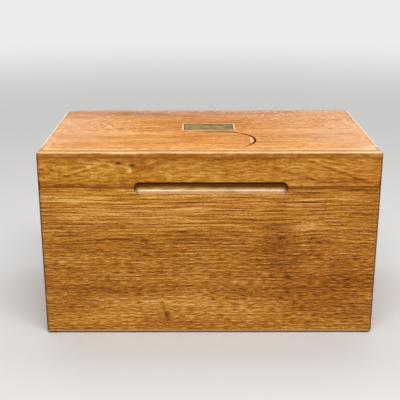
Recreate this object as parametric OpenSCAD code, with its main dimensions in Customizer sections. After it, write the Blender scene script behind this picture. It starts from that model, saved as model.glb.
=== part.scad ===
// Hinged-lid wooden box with a finger groove across the lid seam.
// Millimetres, +Z up, front faces -Y. The origin is on the floor under the middle of the box.

/* [Box] */
// Width of the box, left to right
box_w = 355.6; // [260:0.1:500]
// Depth of the box, front to back
box_d = 209.6; // [150:0.1:350]
// Height of the lower part's boards
base_h = 165.1; // [90:0.1:300]
// Height of the rails under the lid's top panel
rail_h = 31.4; // [24:0.1:60]
// Thickness of the boards and rails
board_t = 12.7; // [12.1:0.1:16]
// Thickness of the lid's top panel
top_t = 6.35; // [5.5:0.05:12]
// Radius on the box's four upright corners
corner_r = 4.2; // [4.1:0.1:6]
// Radius of the round-over on the top panel's edges
edge_r = 4; // [3:0.1:4]

/* [Corner joints] */
// Depth of the rabbet that takes the end of a side board
rabbet_d = 6.35; // [4:0.05:7]

/* [Floor panel] */
// Thickness of the floor panel
panel_t = 6.35; // [4:0.05:9]
// Height of the wood left below the floor panel's groove
panel_up = 6; // [4:0.1:15]
// Depth of the groove that holds the floor panel
panel_groove_d = 5; // [3:0.1:6]

/* [Eased edges] */
// Chamfer round the bottom of the lower part
bottom_ease = 1; // [0.3:0.1:2]
// Chamfer on each side of the lid seam
seam_ease = 0.5; // [0.2:0.1:1]
// Chamfer under the edge of the top panel
joint_ease = 0.3; // [0.1:0.05:0.6]

/* [Finger groove] */
// Length of the finger groove over its round ends
cove_len = 160; // [80:1:220]
// Radius of the half-round finger groove
cove_r = 6.5; // [5:0.1:8]
// Distance of the groove's middle to the right of the box's middle
cove_x = 1.5; // [-15:0.5:15]
// Distance of the groove's middle below the seam
cove_drop = 1.1; // [0:0.1:3]

/* [Name plate] */
// Width of the plate
plate_w = 60.4; // [30:0.1:90]
// Depth of the plate, front to back
plate_d = 36; // [20:0.1:60]
// Thickness of the plate at its rim
plate_t = 1.2; // [0.9:0.1:2]
// Width of the plate's raised rim
plate_rim = 2; // [1:0.1:4]
// Depth of the plain field inside the rim
plate_sunk = 0.4; // [0.2:0.05:0.6]
// Radius of the plate's corners
plate_corner = 1.2; // [0.5:0.1:3]
// Distance of the plate's middle behind the box's middle
plate_back = 2.5; // [-20:0.5:30]

/* [Feet] */
// Radius of a foot pad
foot_r = 5.4; // [4:0.1:5.6]
// Thickness of a foot pad
foot_t = 2; // [1:0.1:4]
// Distance of a foot's middle from the outside faces
foot_in = 6.8; // [6.7:0.1:7.2]

/* [Hinges] */
// How far the lid opens before its bevel meets the base's, in degrees
open_angle = 95; // [80:1:110]
// Distance of the hinge axis from the back face
axis_in = 3.2; // [2.9:0.1:3.8]
// Distance of a hinge's middle from the box's nearer side face
hinge_in = 65; // [50:1:90]
// Length of a hinge
hinge_len = 38.1; // [30:0.1:50]
// Width of a leaf from the hinge axis
leaf_w = 8.2; // [7.6:0.1:8.6]
// Thickness of a leaf
leaf_t = 1.3; // [1.1:0.1:1.6]
// Radius of the hinge's barrel
barrel_r = 2.4; // [2.2:0.1:2.5]
// Number of knuckles on one hinge
knuckles = 5; // [3:2:7]
// Radius of a hinge pin
pin_r = 1.1; // [0.8:0.05:1.3]
// Radius of the peened head at each end of a pin
pin_head_r = 1.7; // [1.5:0.05:2]
// Length of a peened head
pin_head_t = 0.8; // [0.5:0.1:1.2]

/* [Hinge screws] */
// Number of screws in one leaf
screws = 3; // [2:1:3]
// Distance between the screws
screw_pitch = 13; // [9:0.5:13]
// Distance of the screws from the hinge axis
screw_in = 5.5; // [5.3:0.1:5.8]
// Radius of a screw's head
screw_head_r = 2; // [1.8:0.05:2.1]
// Radius of a screw's shank
screw_r = 1.1; // [0.9:0.05:1.2]
// Length of a screw with its head
screw_len = 9.5; // [6:0.5:14]
// Width of the slot in a screw's head
slot_w = 0.5; // [0.4:0.05:0.7]
// Depth of the slot in a screw's head
slot_d = 0.4; // [0.3:0.05:0.5]

/* [Clearances] */
// Gap between the lid and the base when the lid is shut
seam_gap = 0.3; // [0.2:0.05:0.5]
// Room left round the floor panel inside its groove
panel_fit = 0.3; // [0.1:0.05:0.6]
// Room left round a leaf's edges inside its mortise
mortise_fit = 0.15; // [0.05:0.05:0.3]
// Room left round the barrel inside the wood
barrel_fit = 0.4; // [0.3:0.05:0.6]
// Gap between neighbouring knuckles, and between a knuckle and the other leaf
knuckle_gap = 0.3; // [0.2:0.05:0.5]
// Room left round the pin inside the knuckles
pin_fit = 0.05; // [0.02:0.01:0.1]
// Room left round a screw
screw_fit = 0.05; // [0.03:0.01:0.1]

/* [Hidden] */
$fn = 64;
// Extra length that makes a cut run clean through a face
cut = 1;
inner_w = box_w - 2 * board_t;
inner_d = box_d - 2 * board_t;
// Wood left in front of a rabbet
lip = board_t - rabbet_d;
base_z = foot_t;
seam_z = base_z + base_h + seam_gap / 2;
rail_z = seam_z + seam_gap / 2;
top_z = rail_z + rail_h;
panel_z = base_z + panel_up;
axis_y = box_d / 2 - axis_in;
hinge_x = box_w / 2 - hinge_in;
pitch = hinge_len / knuckles;

// ---- Outside form ----

// A block of the box's full plan. Its child is the section of the outside edge, drawn from 0 to corner_r
// across and from 0 to h up, and it runs round all four sides and corners.
module rimmed_block(h) {
    run_w = box_w - 2 * corner_r;
    run_d = box_d - 2 * corner_r;
    translate([-run_w / 2, -run_d / 2, 0]) cube([run_w, run_d, h]);
    for (side = [-1, 1]) {
        translate([0, side * run_d / 2, 0]) rotate([0, 0, side * 90]) edge_run(run_w) children();
        translate([side * run_w / 2, 0, 0]) rotate([0, 0, 90 - side * 90]) edge_run(run_d) children();
        for (end = [-1, 1])
            translate([side * run_w / 2, end * run_d / 2, 0]) rotate_extrude() children();
    }
}

// The edge section of a rimmed_block, extruded along one side that faces +X.
module edge_run(length) {
    translate([0, length / 2, 0]) rotate([90, 0, 0]) linear_extrude(length) children();
}

// Edge section of the lower part: a chamfer below and a finer one at the seam.
module base_edge() {
    polygon([
        [0, 0], [corner_r - bottom_ease, 0], [corner_r, bottom_ease],
        [corner_r, base_h - seam_ease], [corner_r - seam_ease, base_h], [0, base_h]
    ]);
}

// Edge section of the lid's rails: a fine chamfer at the seam.
module rail_edge() {
    polygon([
        [0, 0], [corner_r - seam_ease, 0], [corner_r, seam_ease], [corner_r, rail_h], [0, rail_h]
    ]);
}

// Edge section of the top panel: a fine chamfer at the joint with the rails, and the round-over above it.
module top_edge() {
    low = top_t - edge_r;
    flat = corner_r - edge_r;
    polygon([
        [0, 0], [corner_r - joint_ease, 0], [corner_r, joint_ease], [corner_r, low], [0, low]
    ]);
    translate([0, low]) square([flat, edge_r]);
    intersection() {
        translate([flat, low]) circle(edge_r);
        translate([0, low]) square([corner_r, edge_r]);
    }
}

// Outside form of the lower part and of the lid's rails, both without their inside.
module base_form() {
    translate([0, 0, base_z]) rimmed_block(base_h) base_edge();
}
module rail_form() {
    translate([0, 0, rail_z]) rimmed_block(rail_h) rail_edge();
}

// Plan of the front board: a rabbet behind each end takes the side board.
module front_plan() {
    translate([-box_w / 2, -box_d / 2]) square([box_w, lip]);
    translate([-inner_w / 2, -box_d / 2]) square([inner_w, board_t]);
}

// Space of a front board over the height from z to z + h.
module front_space(z, h) {
    translate([0, 0, z]) linear_extrude(h) front_plan();
}

// Space of a side board, between the lips of the front and back boards. side is -1 left, 1 right.
module side_space(side, z, h) {
    length = box_d - 2 * lip;
    x = side < 0 ? -box_w / 2 : inner_w / 2;
    translate([x, -length / 2, z]) cube([board_t, length, h]);
}

// ---- Cuts ----

// The finger groove, cut across the seam, with more of it in the base: a round-nosed cut with round ends.
module finger_groove() {
    reach = cove_len / 2 - cove_r;
    translate([cove_x, -box_d / 2, seam_z - cove_drop]) {
        rotate([0, 90, 0]) cylinder(h = 2 * reach, r = cove_r, center = true);
        for (end = [-1, 1]) translate([end * reach, 0, 0]) sphere(cove_r);
    }
}

// The groove round the inside that holds the floor panel.
module panel_groove() {
    size = [inner_w + 2 * panel_groove_d, inner_d + 2 * panel_groove_d, panel_t + panel_fit];
    translate([-size[0] / 2, -size[1] / 2, panel_z]) cube(size);
}

// Bevel along the back of the base. The lid's is its mirror image, and the two meet as the lid's stop.
module stop_bevel() {
    reach = 3 * axis_in;
    rotate([-open_angle / 2, 0, 0])
        translate([-box_w / 2 - cut, -reach / 2, -seam_gap / 2])
            cube([box_w + 2 * cut, 2 * reach, reach]);
}

// Everything cut from the wood of the base for one hinge, placed from the hinge's middle.
module hinge_seat() {
    length = hinge_len + 2 * mortise_fit;
    deep = seam_gap / 2 + leaf_t;
    translate([-length / 2, -leaf_w - mortise_fit, -deep])
        cube([length, leaf_w + mortise_fit, deep + cut]);
    rotate([0, 90, 0])
        cylinder(h = hinge_len + 2 * (pin_head_t + barrel_fit), r = barrel_r + barrel_fit, center = true);
    at_screws() cylinder(h = 2 * screw_len + 2 * cut, r = screw_r + screw_fit, center = true);
}

// Puts its child at each hinge's middle on the hinge axis.
module at_hinges() {
    for (side = [-1, 1]) at_hinge(side) children();
}
module at_hinge(side) {
    translate([side * hinge_x, axis_y, seam_z]) children();
}

// Puts its child at each screw of one leaf.
module at_screws() {
    for (i = [0 : screws - 1])
        translate([(i - (screws - 1) / 2) * screw_pitch, -screw_in, 0]) children();
}

// ---- Wood of the lower part ----

module base_front() {
    color("#b5762f") difference() {
        intersection() {
            base_form();
            front_space(base_z, base_h);
        }
        panel_groove();
        finger_groove();
    }
}

module base_back() {
    color("#a96d2c") difference() {
        intersection() {
            base_form();
            mirror([0, 1, 0]) front_space(base_z, base_h);
        }
        panel_groove();
        translate([0, axis_y, seam_z]) stop_bevel();
        at_hinges() hinge_seat();
    }
}

module base_side(side) {
    color("#ae7130") difference() {
        intersection() {
            base_form();
            side_space(side, base_z, base_h);
        }
        panel_groove();
    }
}

module bottom_panel() {
    size = [
        inner_w + 2 * (panel_groove_d - panel_fit),
        inner_d + 2 * (panel_groove_d - panel_fit),
        panel_t
    ];
    color("#c39a63") translate([-size[0] / 2, -size[1] / 2, panel_z]) cube(size);
}

// A round pad under one corner. side is -1 left, 1 right; end is -1 front, 1 back.
module foot(side, end) {
    color("#26221f")
        translate([side * (box_w / 2 - foot_in), end * (box_d / 2 - foot_in), 0])
            cylinder(h = foot_t, r = foot_r);
}

// ---- Wood of the lid ----

module lid_front() {
    color("#ba7c33") difference() {
        intersection() {
            rail_form();
            front_space(rail_z, rail_h);
        }
        finger_groove();
    }
}

module lid_back() {
    color("#b0742e") difference() {
        intersection() {
            rail_form();
            mirror([0, 1, 0]) front_space(rail_z, rail_h);
        }
        translate([0, axis_y, seam_z]) mirror([0, 0, 1]) stop_bevel();
        at_hinges() mirror([0, 0, 1]) hinge_seat();
    }
}

module lid_side(side) {
    color("#b47732") intersection() {
        rail_form();
        side_space(side, rail_z, rail_h);
    }
}

module top_panel() {
    color("#c98a4b") translate([0, 0, top_z]) rimmed_block(top_t) top_edge();
}

// Plan of the plate, inset from its edge.
module plate_plan(inset) {
    r = plate_corner;
    w = plate_w - 2 * inset;
    d = plate_d - 2 * inset;
    square([w - 2 * r, d], center = true);
    square([w, d - 2 * r], center = true);
    for (x = [-1, 1], y = [-1, 1]) translate([x * (w / 2 - r), y * (d / 2 - r)]) circle(r);
}

module name_plate() {
    color("#c9b27a") translate([0, plate_back, top_z + top_t]) difference() {
        linear_extrude(plate_t) plate_plan(0);
        translate([0, 0, plate_t - plate_sunk]) linear_extrude(plate_sunk + cut) plate_plan(plate_rim);
    }
}

// ---- Hinges ----

// One knuckle's place along the barrel, widened by extra at both ends.
module at_knuckle(i, r, extra) {
    length = pitch - knuckle_gap + 2 * extra;
    translate([(i + 0.5) * pitch - hinge_len / 2, 0, 0]) rotate([0, 90, 0])
        cylinder(h = length, r = r, center = true);
}

// A leaf whose plate lies below the axis. It holds every second knuckle, from the given one on.
module leaf(first) {
    difference() {
        union() {
            difference() {
                translate([-hinge_len / 2, -leaf_w, -seam_gap / 2 - leaf_t]) cube([hinge_len, leaf_w, leaf_t]);
                for (i = [1 - first : 2 : knuckles - 1])
                    at_knuckle(i, barrel_r + knuckle_gap, knuckle_gap);
            }
            for (i = [first : 2 : knuckles - 1]) at_knuckle(i, barrel_r, 0);
        }
        rotate([0, 90, 0]) cylinder(h = hinge_len + 2 * cut, r = pin_r + pin_fit, center = true);
        at_screws() translate([0, 0, -seam_gap / 2]) screw_hole();
    }
}

// Countersunk hole of a leaf, its mouth at z = 0.
module screw_hole() {
    sink = screw_head_r - screw_r;
    translate([0, 0, -leaf_t - cut]) cylinder(h = leaf_t + 2 * cut, r = screw_r + screw_fit);
    translate([0, 0, -sink])
        cylinder(h = sink, r1 = screw_r + screw_fit, r2 = screw_head_r + screw_fit);
}

// Countersunk screw with its head at z = 0 and its point downwards.
module screw() {
    sink = screw_head_r - screw_r;
    point = 2 * screw_r;
    difference() {
        union() {
            translate([0, 0, -sink]) cylinder(h = sink, r1 = screw_r, r2 = screw_head_r);
            translate([0, 0, point - screw_len]) cylinder(h = screw_len - point - sink, r = screw_r);
            translate([0, 0, -screw_len]) cylinder(h = point, r1 = 0, r2 = screw_r);
        }
        translate([-screw_head_r, -slot_w / 2, -slot_d]) cube([2 * screw_head_r, slot_w, slot_d + cut]);
    }
}

module leaf_screws() {
    at_screws() translate([0, 0, -seam_gap / 2]) screw();
}

module hinge_base_leaf(side) {
    color("#c8a24a") at_hinge(side) leaf(0);
}
module hinge_lid_leaf(side) {
    color("#c8a24a") at_hinge(side) mirror([0, 0, 1]) leaf(1);
}
module hinge_pin(side) {
    color("#b08d3c") at_hinge(side) rotate([0, 90, 0]) {
        cylinder(h = hinge_len + 2 * pin_head_t, r = pin_r, center = true);
        for (end = [-1, 1]) translate([0, 0, end * (hinge_len + pin_head_t) / 2])
            cylinder(h = pin_head_t, r = pin_head_r, center = true);
    }
}
module hinge_base_screws(side) {
    color("#d0ad58") at_hinge(side) leaf_screws();
}
module hinge_lid_screws(side) {
    color("#d0ad58") at_hinge(side) mirror([0, 0, 1]) leaf_screws();
}

// ---- Nodes ----

base_front();
base_back();
base_side(-1);  // base_left
base_side(1);  // base_right
bottom_panel();
foot(-1, -1);  // foot_front_left
foot(1, -1);  // foot_front_right
foot(-1, 1);  // foot_back_left
foot(1, 1);  // foot_back_right
lid_front();
lid_back();
lid_side(-1);  // lid_left
lid_side(1);  // lid_right
top_panel();
name_plate();
hinge_base_leaf(-1);  // hinge_left_base_leaf
hinge_base_leaf(1);  // hinge_right_base_leaf
hinge_lid_leaf(-1);  // hinge_left_lid_leaf
hinge_lid_leaf(1);  // hinge_right_lid_leaf
hinge_pin(-1);  // hinge_left_pin
hinge_pin(1);  // hinge_right_pin
hinge_base_screws(-1);  // hinge_left_base_screws
hinge_base_screws(1);  // hinge_right_base_screws
hinge_lid_screws(-1);  // hinge_left_lid_screws
hinge_lid_screws(1);  // hinge_right_lid_screws
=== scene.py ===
"""Dresses a hinged walnut donation box: its timber, brass and rubber finishes, the studio and the viewpoint.

Lengths in the finishes are in millimetres. Lengths of meshes, lamps and the camera are in metres.
A pair that names a span gives the value where nothing shows, and the value where all of it shows.
Three numbers that name a line give its place, its half width and how far it fades.
"""

import logging
import math
from dataclasses import dataclass
from enum import Enum, IntEnum
from typing import Any, Iterable, Sequence, Union

import bmesh
import bpy
from mathutils import Euler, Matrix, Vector, noise

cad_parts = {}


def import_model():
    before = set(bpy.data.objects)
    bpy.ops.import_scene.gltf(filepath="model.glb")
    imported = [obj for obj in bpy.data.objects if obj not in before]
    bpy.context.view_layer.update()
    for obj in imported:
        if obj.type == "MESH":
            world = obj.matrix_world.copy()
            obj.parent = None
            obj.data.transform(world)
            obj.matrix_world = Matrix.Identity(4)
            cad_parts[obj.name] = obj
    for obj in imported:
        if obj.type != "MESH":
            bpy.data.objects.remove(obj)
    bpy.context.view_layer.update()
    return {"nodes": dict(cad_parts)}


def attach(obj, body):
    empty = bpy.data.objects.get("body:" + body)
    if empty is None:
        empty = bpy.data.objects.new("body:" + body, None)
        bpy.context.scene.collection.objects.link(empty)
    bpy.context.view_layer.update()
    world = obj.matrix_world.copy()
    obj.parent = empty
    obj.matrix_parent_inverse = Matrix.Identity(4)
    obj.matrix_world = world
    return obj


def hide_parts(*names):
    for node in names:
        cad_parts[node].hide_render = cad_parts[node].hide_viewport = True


LOG = logging.getLogger("donation_box")
MM_PER_METRE = 1000.0
HALF = 0.5
FULL = 1.0
QUARTER_TURN = 90.0
FAR_THROUGH = 1.0e6
SEED_SHIFT = (1.0, 1.7, 2.3)
SHARP_DEGREES = 40.0
MERGE_DISTANCE = 1.0e-6
TOP_FACE = (202.6, 204.4)
# A dark red that is painted as shade inside the finger groove.
GROOVE_SHADE = (0.042, 0.003, 0.0)
PALE = (0.86, 0.6, 0.4)

Pair = tuple[float, float]
Triple = tuple[float, float, float]
Colour = tuple[float, float, float]
Operand = Union["Signal", float]
Owner = Union[bpy.types.Material, bpy.types.World]


class MixSocket(IntEnum):
    """Where a Mix node keeps its colour sockets."""

    FACTOR = 0
    COLOUR_A = 6
    COLOUR_B = 7
    RESULT = 2


class Blend(Enum):
    """How a colour is laid over another."""

    COVER = "MIX"
    TINT = "MULTIPLY"


class Run(Enum):
    """How a board lies: the directions along its grain, across its face and through it."""

    FRONT = ("x", "z", "y")
    SIDE = ("y", "z", "x")
    FLAT = ("x", "y", "z")


@dataclass(frozen=True)
class Cloud:
    """A noise: its size along, across and through the board, and the span of it that shows as 0 to 1."""

    size: Triple
    seed: float
    detail: float = 2.0
    rough: float = 0.5
    span: Pair | None = None


@dataclass(frozen=True)
class Spot:
    """An oval place on a board's face, soft all round."""

    along: float
    across: float
    half_length: float
    half_height: float
    strength: float
    tilt: float = 0.0

    def grown(self, times: float) -> "Spot":
        """Gives a level spot with the same middle, so many times the size."""
        return Spot(self.along, self.across, self.half_length * times, self.half_height * times, FULL)


def spots(*rows: tuple[float, ...]) -> tuple[Spot, ...]:
    """Makes spots from rows of along, across, half length, half height, strength and sometimes tilt."""
    return tuple(Spot(*map(float, row)) for row in rows)


class Signal:
    """A value or vector on its way through a material, which takes part in plain arithmetic."""

    def __init__(self, bench: "Bench", socket: bpy.types.NodeSocket) -> None:
        """Keeps the socket and the bench that its next node is made on."""
        self.bench = bench
        self.socket = socket

    def _math(self, operation: str, *values: Operand) -> "Signal":
        """Adds one Math node over these values."""
        return self.bench.node("ShaderNodeMath", {"operation": operation}, dict(enumerate(values)))

    def __add__(self, other: Operand) -> "Signal":
        """Gives the sum."""
        return self._math("ADD", self, other)

    def __radd__(self, other: Operand) -> "Signal":
        """Gives the sum, with the number first."""
        return self._math("ADD", other, self)

    def __sub__(self, other: Operand) -> "Signal":
        """Gives the difference."""
        return self._math("SUBTRACT", self, other)

    def __rsub__(self, other: Operand) -> "Signal":
        """Gives the difference, with the number first."""
        return self._math("SUBTRACT", other, self)

    def __mul__(self, other: Operand) -> "Signal":
        """Gives the product."""
        return self._math("MULTIPLY", self, other)

    def __rmul__(self, other: Operand) -> "Signal":
        """Gives the product, with the number first."""
        return self._math("MULTIPLY", other, self)

    def __truediv__(self, other: Operand) -> "Signal":
        """Gives the quotient."""
        return self._math("DIVIDE", self, other)

    def __pow__(self, other: Operand) -> "Signal":
        """Gives the power."""
        return self._math("POWER", self, other)

    def __neg__(self) -> "Signal":
        """Gives the value with its sign turned."""
        return self._math("MULTIPLY", self, -1.0)

    def __abs__(self) -> "Signal":
        """Gives the value without its sign."""
        return self._math("ABSOLUTE", self)

    def exp(self) -> "Signal":
        """Gives e to this value."""
        return self._math("EXPONENT", self)

    def higher(self, other: Operand) -> "Signal":
        """Gives the higher of the two."""
        return self._math("MAXIMUM", self, other)

    def wave(self, length: float) -> "Signal":
        """Gives a wave from -1 to 1 that repeats after this length."""
        return self._math("SINE", self * (math.tau / length))

    def bearing(self, other: "Signal") -> "Signal":
        """Gives the angle in radians of a point whose height is this value and whose run is the other."""
        return self._math("ARCTAN2", self, other)

    def scaled(self, times: float, plus: float) -> "Signal":
        """Gives this value times one number, plus another."""
        return self * times + plus

    def rise(self, low: float, high: float) -> "Signal":
        """Gives a smooth step.

        Args:
            low: value at which the step is still 0.
            high: value at which the step is 1; lower than low for a step that falls.

        Returns:
            The step, from 0 to 1.
        """
        if low > high:
            return 1.0 - self.rise(high, low)
        inputs = {"Value": self, "From Min": low, "From Max": high}
        return self.bench.node("ShaderNodeMapRange", {"interpolation_type": "SMOOTHSTEP"}, inputs)

    def line(self, place: float, half_width: float, soft: float) -> "Signal":
        """Gives 1 within half a width of a place, fading to 0 over a soft distance further out."""
        return abs(self - place).rise(half_width + soft, half_width)


class Bench:
    """A new material or sky, and the one place where its nodes are added and wired."""

    def __init__(self, owner: Owner) -> None:
        """Empties the owner.

        Args:
            owner: the new material or world.
        """
        owner.use_nodes = True
        self.owner = owner
        self.tree = owner.node_tree
        self.tree.nodes.clear()

    @classmethod
    def material(cls, name: str) -> "Bench":
        """Gives a bench with a new material on it."""
        return cls(bpy.data.materials.new(name))

    def plug(self, target: bpy.types.NodeSocket, value: Any) -> None:
        """Sets a socket to a number or colour, or links a signal to it.

        Args:
            target: input socket.
            value: signal, number, colour or vector.
        """
        if isinstance(value, Signal):
            self.tree.links.new(value.socket, target)
        elif isinstance(value, tuple) and target.type == "RGBA":
            target.default_value = (*value, FULL)
        else:
            target.default_value = value

    def node(self, kind: str, settings: dict[str, Any], inputs: dict[Any, Any], output: Any = 0) -> Signal:
        """Adds one node.

        Args:
            kind: Blender's name for the node's type.
            settings: the node's own settings.
            inputs: values or signals by socket name or number.
            output: name or number of the output to give.

        Returns:
            The chosen output.
        """
        made = self.tree.nodes.new(kind)
        for name, value in settings.items():
            setattr(made, name, value)
        for key, value in inputs.items():
            self.plug(made.inputs[key], value)
        return Signal(self, made.outputs[output])

    def place(self) -> Signal:
        """Gives the point on the object in millimetres, in the frame that all pieces share."""
        point = self.node("ShaderNodeTexCoord", {}, {}, "Object")
        return self.vector("MULTIPLY", point, (MM_PER_METRE, MM_PER_METRE, MM_PER_METRE))

    def split(self, vector: Signal) -> tuple[Signal, Signal, Signal]:
        """Takes a vector apart into its three values."""
        x = self.node("ShaderNodeSeparateXYZ", {}, {0: vector})
        return tuple(Signal(self, output) for output in x.socket.node.outputs)

    def join(self, x: Operand, y: Operand, z: Operand) -> Signal:
        """Puts three values together as a vector."""
        return self.node("ShaderNodeCombineXYZ", {}, {0: x, 1: y, 2: z})

    def vector(self, operation: str, *parts: Any) -> Signal:
        """Adds one Vector Math node over these vectors."""
        return self.node("ShaderNodeVectorMath", {"operation": operation}, dict(enumerate(parts)))

    def length(self, vector: Signal) -> Signal:
        """Gives the length of a vector."""
        return self.node("ShaderNodeVectorMath", {"operation": "LENGTH"}, {0: vector}, "Value")

    def cloud(self, point: Signal, cloud: Cloud, seed: float = 0.0, coarse: float = 1.0) -> Signal:
        """Adds a noise.

        Args:
            point: where on the piece, in millimetres.
            cloud: the noise.
            seed: the board's own number, which is added to that of the noise.
            coarse: how many times its size the noise has across the grain.

        Returns:
            The noise, about 0.5 on average, or a step from 0 to 1 where it has a span.
        """
        along, across, through = cloud.size
        rate = (1.0 / along, 1.0 / (across * coarse), 1.0 / (through * coarse))
        shift = tuple((seed + cloud.seed) * times for times in SEED_SHIFT)
        moved = self.vector("MULTIPLY_ADD", point, rate, shift)
        inputs = {"Vector": moved, "Scale": 1.0, "Detail": cloud.detail, "Roughness": cloud.rough}
        value = self.node("ShaderNodeTexNoise", {"noise_dimensions": "3D"}, inputs)
        return value.rise(*cloud.span) if cloud.span else value

    def blend(self, amount: Operand, first: Any, second: Any, how: Blend = Blend.COVER) -> Signal:
        """Mixes two colours.

        Args:
            amount: 0 for the first, 1 for the second.
            first: colour or signal.
            second: colour or signal.
            how: how the second is laid over the first.

        Returns:
            The mixed colour.
        """
        settings = {"data_type": "RGBA", "blend_type": how.value, "clamp_factor": True}
        inputs = {MixSocket.FACTOR: amount, MixSocket.COLOUR_A: first, MixSocket.COLOUR_B: second}
        return self.node("ShaderNodeMix", settings, inputs, MixSocket.RESULT)

    def ramp(self, value: Signal, stops: Sequence[tuple[float, Colour]]) -> Signal:
        """Turns a value into a colour along a ramp.

        Args:
            value: the value, from 0 to 1.
            stops: places from 0 to 1 and their colours, in order.

        Returns:
            The colour.
        """
        colour = self.node("ShaderNodeValToRGB", {}, {0: value})
        elements = colour.socket.node.color_ramp.elements
        while len(elements) < len(stops):
            elements.new(FULL)
        for element, (place, shade) in zip(elements, stops):
            element.position = place
            element.color = (*shade, FULL)
        return colour

    def bump(self, height: Signal, strength: float, distance: float) -> Signal:
        """Gives the normal of a surface raised by a height, where 1 stands this distance in metres."""
        inputs = {"Strength": strength, "Distance": distance, "Height": height}
        return self.node("ShaderNodeBump", {}, inputs)

    def surface(self, shader: Signal) -> Owner:
        """Ends the nodes with a shader.

        Args:
            shader: what the surface or the sky shows.

        Returns:
            The material or world.
        """
        kind = "World" if isinstance(self.owner, bpy.types.World) else "Material"
        self.plug(self.tree.nodes.new(f"ShaderNodeOutput{kind}").inputs["Surface"], shader)
        return self.owner

    def finish(self, **sockets: Any) -> Owner:
        """Ends the nodes with a Principled shader, its sockets named with _ for each space."""
        inputs = {name.replace("_", " "): value for name, value in sockets.items()}
        return self.surface(self.node("ShaderNodeBsdfPrincipled", {}, inputs))


class Face:
    """A board's surface on its bench."""

    def __init__(self, bench: Bench, run: Run, seed: float) -> None:
        """Finds where on the board a point is, and which way it faces.

        Args:
            bench: the board's material.
            run: how the board lies.
            seed: what sets its noises apart from those of other boards.
        """
        self.bench = bench
        self.seed = seed
        self.frame = dict(zip("xyz", bench.split(bench.place())))
        normal = bench.node("ShaderNodeTexCoord", {}, {}, "Normal")
        self.facing = dict(zip("xyz", bench.split(normal)))
        self.along_axis = run.value[0]
        self.point = bench.join(*(self.frame[axis] for axis in run.value))

    def oval(self, spot: Spot) -> Signal:
        """Gives a soft oval.

        Args:
            spot: the place.

        Returns:
            1 in the middle of the spot, whatever its strength, and less further out.
        """
        inputs = {
            "Vector": self.point,
            "Location": (spot.along, spot.across, 0.0),
            "Rotation": (0.0, 0.0, math.radians(spot.tilt)),
            "Scale": (spot.half_length, spot.half_height, FAR_THROUGH),
        }
        near = self.bench.node("ShaderNodeMapping", {"vector_type": "TEXTURE"}, inputs)
        away = self.bench.length(near)
        return (-(away * away)).exp()

    def total(self, places: Iterable[Spot]) -> Operand:
        """Adds up soft ovals, each by its strength."""
        return sum((self.oval(spot) * spot.strength for spot in places), 0.0)

    def cloud(self, cloud: Cloud) -> Signal:
        """Adds one of the board's noises."""
        return self.bench.cloud(self.point, cloud, self.seed)


@dataclass(frozen=True)
class Wash:
    """A colour that comes in over a span of some measure."""

    colour: Colour
    span: Pair
    strength: float

    def lay(self, bench: Bench, colour: Signal, measure: Signal, where: Signal) -> Signal:
        """Lays the wash over a colour, by the measure that its span is on and where it can show."""
        return bench.blend(where * measure.rise(*self.span) * self.strength, colour, self.colour)


class Mark:
    """Something laid over a board's colour: a mark that use has left, or painted light or shade."""

    colour: Colour

    def amount(self, face: Face) -> Signal:
        """Gives how much of the mark shows, for a mark that is one colour."""
        raise NotImplementedError

    def paint(self, face: Face, colour: Signal) -> Signal:
        """Gives the board's colour with the mark on it."""
        return face.bench.blend(self.amount(face), colour, self.colour)

    def gloss(self, face: Face, coat: Operand) -> Operand:
        """Gives the strength of the clear coat, which most marks leave alone."""
        return coat


@dataclass(frozen=True)
class EdgeLine(Mark):
    """A straight line of a different colour along an edge or a joint."""

    height: float
    half_width: float
    soft: float
    strength: float
    colour: Colour

    def amount(self, face: Face) -> Signal:
        """Gives 1 on the line at full strength, and 0 away from it."""
        return face.frame["z"].line(self.height, self.half_width, self.soft) * self.strength


@dataclass(frozen=True)
class PaintedCornerShade(Mark):
    """Painted shade on an upright corner, where the rounded edge turns away from the light."""

    span_x: Pair = (174.9, 176.6)
    span_y: Pair = (98.2, 99.6)
    strength: float = 0.85
    colour: Colour = (0.12, 0.036, 0.005)

    def amount(self, face: Face) -> Signal:
        """Gives how dark the corner is."""
        # Darker towards the upright corners: painted shade.
        dark = abs(face.frame["x"]).rise(*self.span_x) * abs(face.frame["y"]).rise(*self.span_y)
        return dark * self.strength


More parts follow.
